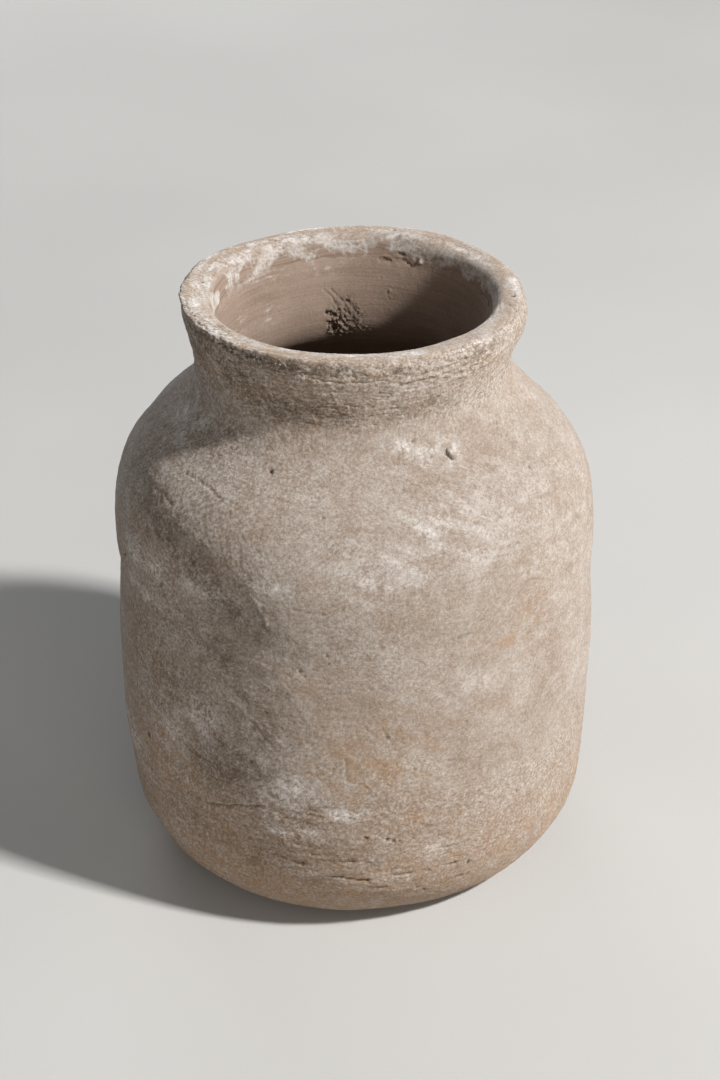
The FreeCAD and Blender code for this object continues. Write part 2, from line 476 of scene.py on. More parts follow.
# Pits of the outside: turn, height, radius, depth
PITS = [
    (-71.5, 264.3, 0.7, 0.8),
    (-73.9, 269.2, 0.9, 0.8),
    (-115.9, 259.2, 1.1, 1.2),
    (-98.1, 245.9, 1.0, 0.9),
    (-47.7, 256.0, 0.7, 0.7),
    (-97, 202, 0.7, 0.7),
    (-102.6, 168.3, 0.9, 0.8),
    (-149.2, 94, 1.4, 1.2),
    (-87.7, 70.5, 1.0, 1.2),
    (-82.8, 68.8, 0.9, 1.2),
    (-81.4, 67.6, 0.8, 1.0),
    (-80.0, 67.2, 0.8, 0.9),
    (-76.6, 67.4, 0.8, 0.9),
    (-65.4, 44.3, 1.0, 1.2),
    (-61.5, 41.6, 1.1, 1.3),
    (-72.2, 43.2, 0.9, 0.9),
    (-87.3, 40.8, 1.2, 1.3),
    (-103.0, 50.7, 1.1, 1.1),
    (-126.5, 74.4, 1.1, 1.1),
    (-76, 37, 0.9, 0.7),
    (-74.6, 30, 0.9, 0.7),
    (-96.5, 178, 0.8, 0.7),
    (-82.9, 130.9, 0.9, 0.9),
    (12, 120, 1.3, 1.2),
    (64, 200, 1.2, 1.1),
    (101, 72, 1.4, 1.2),
    (140, 150, 1.1, 1.0),
    (165, 240, 1.2, 1.1),
]
# Pits and nicks of the lip's top and the inside: turn, radius or height, radius, depth
LIP_PITS = [(-5.6, 80.4, 1.2, 1.3), (-13.9, 79.8, 0.9, 0.8), (74, 79, 0.9, 0.8), (171, 77, 1.2, 0.9)]
INSIDE_PITS = [
    (76.5, 304.9, 0.8, 1.2),
    (68.2, 308.8, 0.7, 1.1),
    (65.8, 304.6, 0.6, 0.8),
    (99.8, 268.9, 1.7, 2.4),
    (98.2, 265.2, 1.2, 2.0),
    (102.1, 275.4, 0.9, 1.5),
    (93.0, 282.1, 0.8, 1.2),
]
INSIDE_CUTS = [
    ([(78.6, 304.9), (76, 304.4), (73.5, 305.1)], 0.5, 0.9, 0.25),
    ([(70.0, 309.0), (67.5, 308.9)], 0.6, 1.0, 0.1),
    ([(66.4, 305), (64, 304.2)], 0.5, 0.7, 0.2),
    ([(103.5, 289.5), (100, 285), (97.5, 279)], 0.5, 0.6, 0.3),
    ([(100, 289), (96, 283), (92.5, 277), (89, 268)], 0.5, 0.6, 0.4),
    ([(96, 287), (91.5, 281), (88, 274)], 0.5, 0.5, 0.4),
]
# Smears of wash on the coat: turn, height, half-width, half-height
SMEARS_INSIDE = [(132, 283, 5, 7), (151, 286, 8, 6), (130, 303, 10, 4), (104, 299, 9, 3)]
GRIT = (59.7, 306.8)  # turn and height of a pale grain stuck to the inside
DUG = (93.6, 271, 13, 16)  # turn, height, half-width, half-height of the patch gouged out inside

# Stains and painted shade of the outside: turn, height, half-width, half-height, strength
# The ochres on the neck's left and under the lip there (turns -140 to -86, heights 290 to 312) also
# darken and warm the shaded side, as painted shade; the rest are ochre stains.
OCHRES_AND_SHADE = [
    (-142, 92, 46, 40, 0.75),
    (-150, 142, 30, 26, 0.5),
    (-122, 58, 44, 26, 0.7),
    (-92, 34, 50, 20, 0.5),
    (-140, 298, 44, 12, 0.8),
    (-100, 290, 34, 9, 0.6),
    (-86, 112, 28, 32, 0.95),
    (-75.5, 81.5, 10, 4, 1.0),
    (-81, 78.5, 8, 3, 1.0),
    (-90, 130, 13, 16, 0.8),
    (-91, 96, 8, 11, 0.8),
    (-74, 124, 14, 14, 0.6),
    (-98, 156, 22, 14, 0.5),
    (-116, 46, 7, 12, 0.9),
    (-110, 26, 30, 9, 0.5),
    (-132, 64, 20, 16, 0.5),
    (-52.9, 171.6, 10, 4, 0.8),
    (-63.7, 177.8, 10, 4, 0.4),
    (-44, 186, 22, 26, 0.3),
    (-104, 210, 20, 12, 0.35),
    (-56, 140, 20, 14, 0.3),
    (-124, 300, 26, 8, 0.5),
    (-96, 296, 26, 5, 0.4),
    (-30, 300, 30, 10, 0.35),
    (-86, 312, 26, 4, 0.6),
    (30, 130, 30, 22, 0.6),
    (70, 84, 26, 16, 0.7),
    (112, 196, 26, 18, 0.5),
    (150, 120, 30, 24, 0.6),
]
# The darks in a band down the left from the shoulder (turns -150 to -106), on the neck's left and at
# the lip's left are painted shade of the hollow and of the side away from the light; the rest are
# dark stains.
DARK_STAINS_AND_SHADE = [
    (-150, 232, 24, 12, 0.4),
    (-140, 224, 22, 12, 0.55),
    (-131, 215, 20, 11, 0.7),
    (-124, 205, 18, 9, 0.6),
    (-118, 195, 20, 9, 0.65),
    (-112, 184, 16, 9, 0.6),
    (-106, 175, 14, 8, 0.4),
    (-128, 170, 34, 22, 0.4),
    (-146, 150, 34, 26, 0.4),
    (-144, 124, 28, 16, 0.4),
    (-140, 264, 30, 10, 0.4),
    (-121, 106, 30, 24, 0.6),
    (-114, 136, 24, 26, 0.45),
    (-84, 93, 9, 6, 0.35),
    (-134, 57, 26, 14, 0.65),
    (-94, 57, 16, 8, 0.7),
    (-115, 47, 7, 10, 0.8),
    (-102, 62, 32, 10, 0.4),
    (-102, 77, 7, 4, 0.5),
    (-112, 290, 36, 8, 0.85),
    (-92, 288, 22, 6, 0.7),
    (-142, 302, 34, 12, 0.9),
    (-128, 315, 34, 3, 0.5),
    (-160, 284, 26, 10, 0.3),
    (-70, 290, 20, 7, 0.5),
    (50, 290, 40, 9, 0.5),
    (86, 118, 24, 20, 0.5),
    (134, 60, 30, 14, 0.5),
    (165, 286, 30, 8, 0.5),
]
CHALKS = [
    (-153.5, 198, 12, 9, 0.8),
    (-143, 198, 14, 5, 0.8),
    (-130.8, 199.8, 14, 3.5, 0.7),
    (-110, 212.5, 12, 4, 0.8),
    (-150, 180, 16, 4, 0.6),
    (-158, 262, 24, 14, 0.5),
    (-138, 113, 14, 18, 0.4),
    (-105, 97, 12, 10, 1.0),
    (-94.3, 84.4, 11, 3.5, 0.9),
    (-105.4, 70.6, 14, 6, 0.7),
    (-112, 82, 14, 4, 0.5),
    (-72.6, 57.2, 8, 5, 0.7),
    (-128, 126, 12, 9, 0.8),
    (-58.3, 264, 7, 6, 0.8),
    (-73.7, 270, 6, 4, 0.8),
    (-66, 267, 16, 8, 0.5),
    (-70.2, 238, 13, 12, 0.6),
    (-84, 224, 26, 14, 0.4),
    (-58, 240, 34, 22, 0.3),
    (-63, 152.7, 18, 7, 0.35),
    (-30, 210, 34, 36, 0.15),
    (-104, 45, 10, 4, 0.4),
    (-80, 41, 20, 4, 0.5),
    (-160, 81, 16, 12, 0.6),
    (10, 90, 30, 24, 0.6),
    (56, 170, 30, 26, 0.6),
    (104, 140, 28, 18, 0.6),
    (146, 226, 34, 16, 0.6),
]
# Stains and painted shade of the lip: turn, distance in from its outer edge, half-width,
# half-height, strength
LIP_OCHRES = [
    (158, 13, 10, 4, 0.9),
    (130, 13, 12, 3, 0.9),
    (100, 14, 10, 3, 0.7),
    (48, 12, 12, 3, 0.8),
    (170, 5, 16, 5, 0.6),
    (138, 6, 14, 4, 0.9),
    (124, 2, 22, 3, 0.6),
    (96, 10, 18, 5, 0.9),
    (84, 4, 14, 3, 0.5),
    (58, 5, 14, 3, 0.8),
    (22, 6, 14, 3, 0.6),
    (-4, 10, 12, 3, 0.5),
    (-28, 4, 20, 3, 0.6),
    (-66, 1, 22, 2.5, 0.8),
    (-96, 1, 20, 2, 1.0),
    (-122, 3, 20, 2.5, 0.9),
    (-150, 9, 18, 3, 0.5),
]
# The first five, just below the lip's outer edge on the left and front, are painted shade along the
# crumbly band; the last three are dark stains on the lip's top.
LIP_DARK_STAINS_AND_SHADE = [
    (-152, -4, 24, 3, 1.0),
    (-124, -4, 26, 3, 1.0),
    (-98, -4, 18, 3, 0.9),
    (-76, -5, 14, 2.5, 0.6),
    (-40, -6, 20, 2, 0.4),
    (108, 13, 8, 3, 0.5),
    (72, 14, 10, 4, 0.5),
    (44, 8, 8, 2, 0.4),
]
LIP_CHALKS = [
    (176, 10, 16, 5, 0.7),
    (152, 2, 20, 4, 0.8),
    (148, 12, 14, 3, 0.7),
    (116, 13, 22, 3.5, 1.0),
    (108, 4, 18, 2, 0.8),
    (78, 2, 20, 2, 0.9),
    (70, 12, 14, 3, 0.7),
    (40, 11, 18, 3, 0.6),
    (30, 2, 20, 2, 0.6),
    (2, 5, 18, 3, 0.6),
    (-24, 12, 16, 3, 0.6),
    (-46, 0, 16, 3, 0.7),
    (-72, 6, 10, 3, 0.9),
    (-88, 8, 12, 3, 0.8),
    (-116, 8, 18, 3, 0.5),
    (-142, 3, 18, 3, 0.7),
    (-168, 6, 14, 4, 0.8),
]
# Where small pits and cracks are scattered: lowest and greatest height, how many
PIT_BANDS = [(4, 40, 60), (40, 82, 150), (82, 280, 260), (282, 309, 130)]
CRACK_BANDS = [(30, 84, 360), (84, 270, 70), (283, 309, 90)]
DRY_CRACKS = 70  # how many cracks there are in the ochre patch at the front
DRY_TURN, DRY_HEIGHT = (-85, 7), (108, 17)  # where they are, each a mean and a spread


def skin_rows(rows, place=SKIN.outside):
    """Rows of (turn, height, ...) with the height turned into a distance along the skin."""
    return [(turn, float(place(height)), *rest) for turn, height, *rest in rows]


def scattered_pits():
    """Small pits all over the outside, thickest near the foot and on the collar."""
    draw = np.random.default_rng(11)
    pits = []
    for low, high, count in PIT_BANDS:
        for _ in range(count):
            radius = 0.45 + 0.6 * draw.random() ** 2
            depth = radius * draw.uniform(0.5, 1.0)
            pits.append((draw.uniform(-180, 180), draw.uniform(low, high), radius, depth))
    return pits


def scattered_cracks():
    """Short, nearly level cracks, where the clay tore as it was turned and scraped, and steeper
    ones in the ochre patch at the front."""
    draw = np.random.default_rng(23)
    cracks = []
    for low, high, count in CRACK_BANDS:
        for _ in range(count):
            turn, height = draw.uniform(-180, 180), draw.uniform(low, high)
            length, climb = draw.uniform(1.5, 6), draw.normal(0, 1.0)
            path = [(turn, height), (turn + length, height + climb)]
            cracks.append((path, draw.uniform(0.4, 0.65), draw.uniform(0.25, 0.7), 0.45))
    for _ in range(DRY_CRACKS):
        turn, height = draw.normal(*DRY_TURN), draw.normal(*DRY_HEIGHT)
        path = [(turn, height), (turn + draw.normal(0, 1.2), height + draw.normal(0, 3.5))]
        cracks.append((path, draw.uniform(0.35, 0.5), draw.uniform(0.25, 0.6), 0.4))
    return cracks


def crease_line(places):
    """Where the wandering crease under the lip's coil lies, as a distance along the skin."""
    line = SKIN.outside(np.interp(places.turn, CREASE_TURNS, CREASE_HEIGHTS))
    return line + 0.8 * noise(places.unrolled, (9, 9, 400), 71)


def rim_crease(places):
    """How deep the crease goes. It has closed up in places, and has a slight ridge below."""
    deep = np.interp(places.turn, CREASE_TURNS, CREASE_DEPTHS)
    deep = deep * smoothstep(noise(places.point, 10, 72), -0.6, 0.3)
    above = places.s - crease_line(places)
    return deep * (0.75 * bell(above, 0.5) - 0.45 * bell(above + 1.6, 0.8))


def lip_shape(places):
    """The lip is pinched to an edge along the left and front, with a hollow below, and thumbed
    round elsewhere. Its top is not quite level."""
    edge = places.s - LIP_OUTER
    pinch = smoothstep(places.turn, -188, -174) * (1 - smoothstep(places.turn, -104, -72))
    pinch = np.maximum(pinch, smoothstep(places.turn, 168, 184))
    pinch *= 0.85 + 0.4 * noise(places.point, 11, 32)
    part = np.clip(np.abs(edge) / LIP_ROUND, 0, math.pi / 4)
    corner = LIP_ROUND * (1 / np.cos(math.pi / 4 - part) - 1)
    lift = pinch * (corner + 0.7 * bell(edge, 1.6))
    lift -= 1.4 * (1 - np.clip(pinch, 0, 1)) * bell(edge, 4.5)
    lift -= 0.8 * pinch * bell(edge + 5.5, 2.6)
    lift -= 1.0 * places.lump(-167, LIP_OUTER - 4, 17, 2.2)
    level = 0.8 * noise(places.unrolled, (95, 95, 1e4), 31) * smoothstep(places.z, 296, 314)
    return lift + level * np.abs(places.normal[..., 2])


def fine_roughness(places):
    """How rough the outside is: calm on the right and over the lip, and rough down the left, on
    the collar and near the foot."""
    rough = 0.85 + 0.3 * noise(places.point, 42, 41)
    rough -= 0.4 * places.side(-45, 75) * places.band(110, 276, 30)
    rough += 0.6 * places.side(-140, 65)
    rough += 0.7 * places.band(282, 330, 5) + 0.45 * places.band(26, 88, 10)
    rough -= 0.9 * smoothstep(places.s, LIP_OUTER, LIP_OUTER + 3)
    over = SKIN.s[SKIN.top]
    return np.clip(rough, 0.35, 2.2) * (1 - smoothstep(places.s, over + 6, over + 14))


def crumbled(places):
    """The crumbly band between the crease and the edge of the lip along the left and front, as a
    lift and how deep its gaps go."""
    above = places.s - crease_line(places)
    band = smoothstep(above, -0.4, 0.8) * (1 - smoothstep(above, 3.5, 6.0))
    band = band * (places.side(-136, 58) * places.is_outside)
    band *= smoothstep(noise(places.unrolled, (14, 14, 5), 36), -0.55, 0.1)
    crumbs = np.abs(noise(places.point, 2.7, 33)) + 0.6 * np.abs(noise(places.point, 1.5, 34))
    return band * (1.1 * crumbs - 0.35), band * np.clip(0.34 - crumbs, 0, 1) * 4


def right_of_lip(places):
    """1 on the right-hand front of the lip's outside, where the clay was smeared up."""
    return places.side(-42, 42) * places.band(302, 330, 3)


def stroke_places(places):
    """The unrolled places that level strokes follow. They climb to the right on that smear."""
    climb = 0.16 * places.unrolled[..., 1:2] * right_of_lip(places)[..., None]
    return places.unrolled - climb * UP


def outside_relief(places):
    """Lift of the outside and the lip from the smooth skin, and how deep its cuts and pits are."""
    lift = 0.75 * noise(places.point, 110, 1) + 0.55 * noise(places.point, 46, 2)
    lift += 0.22 * noise(places.point, 19, 3)
    for turn, s, half_width, half_height, amount in skin_rows(SWELLS):
        lift += amount * places.lump(turn, s, half_width, half_height)
    lift += lip_shape(places)
    lift += 0.45 * right_of_lip(places) * noise(stroke_places(places), (26, 26, 1.7), 9)
    scraped = noise(places.unrolled, (34, 34, 2.6), 4)
    scraped += 0.7 * noise(places.unrolled, (16, 16, 1.7), 5)
    lift += scraped * (0.06 + 0.1 * places.band(284, 312, 5) + 0.14 * places.band(30, 84, 8))
    rough = fine_roughness(places)
    lift += rough * (0.11 * noise(places.point, 5.5, 6) + 0.1 * noise(places.point, 2.9, 7))
    lift += rough * 0.09 * noise(places.point, 1.8, 8)
    crumbs, gaps = crumbled(places)
    lift += crumbs
    for path, width, amount in SMEARS:
        lift += cut(places, skin_rows(path), width, amount, wander=1.0, seed=51)

    deep = np.maximum(rim_crease(places), gaps)
    for k, (path, width, depth, broken) in enumerate(CUTS + scattered_cracks()):
        wander = 0.5 if len(path) > 2 else 0.3
        made = cut(places, skin_rows(path), width, depth, wander, broken, seed=90 + 4 * k)
        deep = np.maximum(deep, made)
    deep = np.maximum(deep, pitted(places, skin_rows(PITS + scattered_pits()), seed=500))
    return lift, np.maximum(deep, pitted(places, skin_rows(LIP_PITS, SKIN.over_lip), seed=900))


def dug_patch(places):
    """1 in the gouged patch on the inside of the neck, with a ragged edge."""
    patch = places.lump_inside(*DUG)
    return smoothstep(patch + 0.22 * noise(places.point, 6, 61), 0.42, 0.62)


def smears_inside(places):
    """Smears of chalky wash on the left of the coat."""
    smears = sum(places.lump_inside(*smear) for smear in SMEARS_INSIDE)
    broken = noise(places.unrolled, (7, 7, 2), 91)
    return 0.6 * smears * smoothstep(broken, -0.1, 0.5)


def inside_swell(places):
    """The slow swells of the inside."""
    return 0.5 * noise(places.point, 70, 21) + 0.3 * noise(places.point, 28, 22)


def inside_relief(places):
    """Lift of the inside from the smooth skin, and how deep its pits are."""
    rings = noise(places.unrolled, (60, 60, 2.3), 23)
    rings += 0.8 * noise(places.unrolled, (40, 40, 5), 24)
    lift = inside_swell(places) + 0.022 * rings + 0.04 * noise(places.point, 3, 25)
    crumbs = np.abs(noise(places.point, 2.5, 27)) + 0.7 * np.abs(noise(places.point, 1.5, 29))
    patch = dug_patch(places)
    worst = places.lump_inside(99, 269, 6, 8)
    lift += patch * (0.6 + 0.9 * worst) * (1.2 * crumbs - 0.5)
    torn = places.lump_inside(71, 306, 12, 3.5)
    lift += torn * (0.5 * noise(places.unrolled, (5, 5, 2.0), 28) - 0.2)
    nibbled = smoothstep(noise(places.point, 4, 30), -0.2, 0.3) * places.lump_inside(75, 288, 4, 8)
    lift += nibbled * (1.1 * crumbs - 0.5)
    lift += 1.3 * places.lump_inside(*GRIT, 1.1, 1.1)
    deep = pitted(places, skin_rows(INSIDE_PITS, SKIN.inside), seed=700)
    for k, (path, width, depth, broken) in enumerate(INSIDE_CUTS):
        path = skin_rows(path, SKIN.inside)
        deep = np.maximum(deep, cut(places, path, width, depth, 0.6, broken, seed=750 + 6 * k))
    return lift, np.maximum(deep, patch * (0.15 + worst) * np.clip(0.38 - crumbs, 0, 1) * 5)


def stain_and_shade(places, walls, lips, size, seed, ragged):
    """The strength of stains and painted shade from their lumps on the wall and the lip, broken up
    by grains and slanted streaks of that size."""
    strength = np.zeros(places.s.shape)
    lumps = skin_rows(walls) + skin_rows(lips, lambda inward: LIP_OUTER + inward)
    for turn, s, half_width, half_height, amount in lumps:
        strength = np.maximum(strength, amount * places.lump(turn, s, half_width, half_height))
    slanted = places.unrolled + 0.6 * places.unrolled[..., :1] * UP
    streak = (1.9 * size, 1.9 * size, 0.6 * size)
    broken = noise(slanted, streak, seed) + 0.6 * noise(places.point, size / 2.6, seed + 1)
    return np.clip(strength * (1 + ragged * broken) + 0.12 * ragged * broken, 0, 1)


def recess_shade(deep):
    """How much painted shade a place gets for lying deep in a crack, a pit or the crease."""
    return smoothstep(deep, 0.3, 1.2)


def outside_marks(places, deep):
    """The marks of the outside and the lip: stains, chalk, painted shade in recesses, and darks and
    ochres that are partly painted shade on the left. The lip's left and back are patched with chalk
    and ochre."""
    on_lip = smoothstep(places.s, LIP_OUTER - 1, LIP_OUTER + 2) * places.side(150, 120)
    patchy = noise(places.unrolled, (20, 20, 4), 86) + 0.5 * noise(places.point, 3.5, 93)
    lip_chalk = 0.7 * on_lip * smoothstep(patchy, 0.1, 0.5)
    lip_ochre = 0.8 * on_lip * smoothstep(-patchy, 0.1, 0.5)
    return {
        "recess_shade": recess_shade(deep),
        "ochre_and_shade": np.maximum(stain_and_shade(places, OCHRES_AND_SHADE, LIP_OCHRES, 16, 81, 0.9), lip_ochre),
        "dark_and_shade": stain_and_shade(places, DARK_STAINS_AND_SHADE, LIP_DARK_STAINS_AND_SHADE, 13, 83, 0.7),
        "chalk": np.maximum(stain_and_shade(places, CHALKS, LIP_CHALKS, 9, 85, 0.9), lip_chalk),
        "rough": fine_roughness(places),
    }


def chalk_edge(places):
    """How much of the outside's chalky wash lies on the inside: down to a ragged line, worn off
    in places above it, and on the grain stuck below it."""
    line = SKIN.inside(307) + 4 * noise(places.unrolled, (26, 26, 1e4), 87)
    line = line + 5 * smoothstep(np.abs(places.arc_from(160)), 60, 20)
    ragged = 3.5 * noise(places.point, 8, 88) + 2.2 * noise(places.point, 2.6, 89)
    left = 1 - smoothstep(places.s + ragged, line - 4, line + 3)
    worn = noise(places.unrolled, (24, 24, 11), 90) + 0.4 * noise(places.point, 4, 92)
    grit = places.lump_inside(*GRIT, 1.4, 1.4)
    return np.maximum(left * smoothstep(worn, -0.5, 0.15), smoothstep(grit, 0.2, 0.5))


# ---------------------------------------------------------------- what each kind of surface is

MARKS = ["recess_shade", "ochre_and_shade", "dark_and_shade", "chalk", "bare", "rough"]


def clay(places):
    """Lift and marks of the clay anywhere on the skin, outside, over the lip and inside."""
    outer_lift, outer_deep = outside_relief(places)
    marks = outside_marks(places, outer_deep)
    if places.is_outside.all():
        return outer_lift - outer_deep, marks
    inner_lift, inner_deep = inside_relief(places)
    over_lip = smoothstep(places.s, LIP_INNER - 4, LIP_INNER + 6)
    turn, height, half_width, half_height = DUG
    hollow = DUG_ROOM * places.lump_inside(
        turn, height, DUG_SPREAD * half_width, DUG_SPREAD * half_height
    )
    shown = 1 - smoothstep(places.s, COAT_TOP + COAT_RAGGED, COAT_TOP + 2 * COAT_RAGGED)
    under_coat = inside_swell(places) - hollow
    inner = shown * (inner_lift - inner_deep) + (1 - shown) * under_coat
    lift = (1 - over_lip) * (outer_lift - outer_deep) + over_lip * inner
    chalky = chalk_edge(places)
    marks["recess_shade"] = np.where(over_lip > 0.5, recess_shade(inner_deep), marks["recess_shade"])
    marks["bare"] = (1 - chalky) * over_lip
    marks["chalk"] = np.maximum(marks["chalk"], 0.6 * chalky * over_lip)
    marks["rough"] = np.maximum(marks["rough"], 0.8 * over_lip)
    return lift, marks


def coat_edge(turns):
    """Where the coat's ragged upper edge lies, as a distance along the skin."""
    around = ring(turns)
    ragged = 0.5 + 0.35 * noise(around, 34, 221) + 0.25 * noise(around, 8, 222)
    return COAT_TOP + COAT_RAGGED * np.clip(ragged, 0.05, 1)


def coat(places):
    """Lift and marks of the coat inside. It thins out to its upper edge."""
    inner_lift, inner_deep = inside_relief(places)
    thickness = COAT * (0.35 + 0.65 * smoothstep(places.s - places.s[:1], 0, 8))
    marks = {
        "recess_shade": recess_shade(inner_deep),
        "chalk": 0.6 * chalk_edge(places) + smears_inside(places),
        "dark_and_shade": dug_patch(places),
    }
    return inner_lift - inner_deep + thickness, marks


def coat_back(places):
    """Lift of the coat's hidden side, a little way into the clay."""
    return inside_swell(places) - COAT_SUNK, {}


# ---------------------------------------------------------------- meshes


def rows_between(start, end, spacing, most=1000):
    """Rows of distances along the skin from start to end, each an array over the columns."""
    count = math.ceil(float(np.mean(np.abs(end - start))) / spacing) + 1
    count = min(max(count, 2), most)
    return start + (end - start) * np.linspace(0, 1, count)[:, None]


def worked(s, shape=clay, turns=TURNS):
    """Points, normals and marks of rows of worked skin. A ghost row beyond each end makes the
    normals run on smoothly into the next piece."""
    s = np.vstack([2 * s[:1] - s[1:2], s, 2 * s[-1:] - s[-2:-1]])
    places = Places(turns[None, :], np.clip(s, SKIN_END, SKIN.s[-1] - SKIN_END))
    lift, marks = shape(places)
    points = places.point + lift[..., None] * places.normal
    points[..., 2] = np.maximum(points[..., 2], 0)
    around = np.roll(points, -1, axis=1) - np.roll(points, 1, axis=1)
    normals = np.cross(around, np.gradient(points, axis=0))
    normals /= np.linalg.norm(normals, axis=-1, keepdims=True) + 1e-12
    marks["unrolled"] = stroke_places(places)
    marks = {name: values[1:-1] for name, values in marks.items()}
    return points[1:-1], normals[1:-1], marks


class Grid:
    """Rows of points round the axis, gathered into one closed mesh. A row belongs to worked skin,
    with its own normals and marks, or to the plain face of a joint. Each row has a share of the
    height of the baked texture."""

    def __init__(self, columns):
        self.columns = columns
        self.points, self.normals, self.is_skin, self.shares = [], [], [], []
        self.marks = {name: [] for name in MARKS + ["unrolled"]}

    def add_skin(self, points, normals, marks, share=1.0):
        self.points.append(points)
        self.normals.append(normals)
        self.is_skin += [True] * (len(points) - 1) + [False]
        steps = np.linalg.norm(np.diff(points, axis=0), axis=-1).mean(axis=1) * share
        self.shares += [*steps, FACE_SHARE]
        for name in MARKS:
            self.marks[name].append(marks.get(name, np.zeros(points.shape[:2])))
        self.marks["unrolled"].append(marks["unrolled"])

    def add_joint_face(self, start, end):
        """Rows between the last row before the face and the first row after it."""
        part = np.linspace(0, 1, JOINT_ROWS + 2)[1:-1, None, None]
        rows = start + (end - start) * part
        self.points.append(rows)
        self.normals.append(np.zeros_like(rows))
        self.is_skin += [False] * JOINT_ROWS
        self.shares += [FACE_SHARE] * JOINT_ROWS
        for name in MARKS:
            # the joints' faces get the full painted recess shade
            self.marks[name].append(np.full(rows.shape[:2], float(name == "recess_shade")))
        self.marks["unrolled"].append(rows)

    def quads(self, wrap):
        """The corners of every quad, whether it is worked skin, and its row and column."""
        total = len(self.is_skin)
        row, column = np.meshgrid(
            np.arange(total if wrap else total - 1), np.arange(self.columns), indexing="ij"
        )
        above, beside = (row + 1) % total, (column + 1) % self.columns
        corners = [(row, column), (row, beside), (above, beside), (above, column)]
        corners = np.stack([i * self.columns + j for i, j in corners], axis=-1).reshape(-1, 4)
        row, column = row.ravel(), column.ravel()
        return corners, np.array(self.is_skin)[row], row, column

    def caps(self, total):
        """Triangles that close the first and the last row onto two points of the axis, which
        follow the grid's total of points."""
        column = np.arange(self.columns)
        beside = (column + 1) % self.columns
        last = total - self.columns
        low = np.stack([np.full_like(column, total), beside, column], axis=-1)
        high = np.stack([np.full_like(column, total + 1), last + column, last + beside], axis=-1)
        return low, high

    def texture_places(self, column, across, row_edges):
        """Places in the baked texture. column says which segment each face is in, across is its
        corners' place along the row, and row_edges their row, with -1 and one past the last row
        for the points of the axis."""
        edges = CAP_SHARE + np.append(0, np.cumsum(self.shares))
        total = edges[-1] + CAP_SHARE
        per_segment = self.columns // SEGMENTS
        segment = (column // per_segment)[:, None]
        u = (across - segment * per_segment) / per_segment
        v = np.interp(row_edges, np.arange(-1, len(edges) + 1), [0, *edges, total]) / total
        u, v = MARGIN + (1 - 2 * MARGIN) * u, MARGIN + (1 - 2 * MARGIN) * v
        return np.stack([u, (segment + v) / SEGMENTS], axis=-1).reshape(-1, 2)


def flat_normals(points, corners):
    """The normal of each flat quad or triangle."""
    one, two, three, last = (points[corners[:, k]] for k in (0, 1, 2, -1))
    made = np.cross(three - one, last - two)
    return made / (np.linalg.norm(made, axis=-1, keepdims=True) + 1e-12)


def added(name, data):
    """A new object in the scene."""
    made = bpy.data.objects.new(name, data)
    bpy.context.collection.objects.link(made)
    return made


def build(name, grid, ends=None):
    """One Blender object from a grid of rows, closed round its section, or onto two points of the
    axis if ends has them."""
    points, normals, unrolled = (
        np.vstack([rows.reshape(-1, 3) for rows in kept])
        for kept in (grid.points, grid.normals, grid.marks["unrolled"])
    )
    corners, is_skin, row, column = grid.quads(wrap=ends is None)
    flat = flat_normals(points, corners)[:, None, :]
    loop_normals = [np.where(is_skin[:, None, None], normals[corners], flat).reshape(-1, 3)]
    across = column[:, None] + np.array([0, 1, 1, 0])
    places = [grid.texture_places(column, across, row[:, None] + np.array([0, 0, 1, 1]))]
    indices, sizes = [corners.ravel()], [np.full(len(corners), 4)]
    poles = np.zeros((0, 3))
    if ends is not None:
        poles = np.array(ends, float) * (0, 0, 1)
        caps = grid.caps(len(points))
        points = np.vstack([points, poles])
        column = np.arange(grid.columns)
        last = len(grid.is_skin)
        # where a triangle's corners lie in the texture: along the row, and between rows
        layouts = [((0.5, 1, 0), (-1, 0, 0)), ((0.5, 0, 1), (last + 1, last, last))]
        for cap, (across, row_edges) in zip(caps, layouts):
            indices.append(cap.ravel())
            sizes.append(np.full(len(cap), 3))
            loop_normals.append(np.repeat(flat_normals(points, cap), 3, axis=0))
            across = column[:, None] + np.array(across)
            row_edges = np.broadcast_to(row_edges, across.shape)
            places.append(grid.texture_places(column, across, row_edges))
    mesh = bpy.data.meshes.new(name)
    indices, sizes = np.concatenate(indices), np.concatenate(sizes)
    mesh.vertices.add(len(points))
    mesh.vertices.foreach_set("co", (points * MM).ravel())
    mesh.loops.add(len(indices))
    mesh.loops.foreach_set("vertex_index", indices)
    mesh.polygons.add(len(sizes))
    mesh.polygons.foreach_set("loop_start", np.cumsum(sizes) - sizes)
    mesh.update(calc_edges=True)
    mesh.shade_smooth()
    mesh.uv_layers.new(name=BAKE_LAYER).uv.foreach_set("vector", np.vstack(places).ravel())
    mesh.normals_split_custom_set(np.vstack(loop_normals))
    for mark in MARKS:
        values = np.concatenate([rows.ravel() for rows in grid.marks[mark]] + [poles[:, 0]])
        mesh.attributes.new(mark, "FLOAT", "POINT").data.foreach_set("value", values)
    vectors = mesh.attributes.new("unrolled", "FLOAT_VECTOR", "POINT")
    vectors.data.foreach_set("vector", np.vstack([unrolled, poles]).ravel())
    return added(name, mesh)


# ---------------------------------------------------------------- the pieces


def level_row(s):
    """A row that lies at the same distance along the skin all round."""
    return np.full(COLUMNS, float(s))


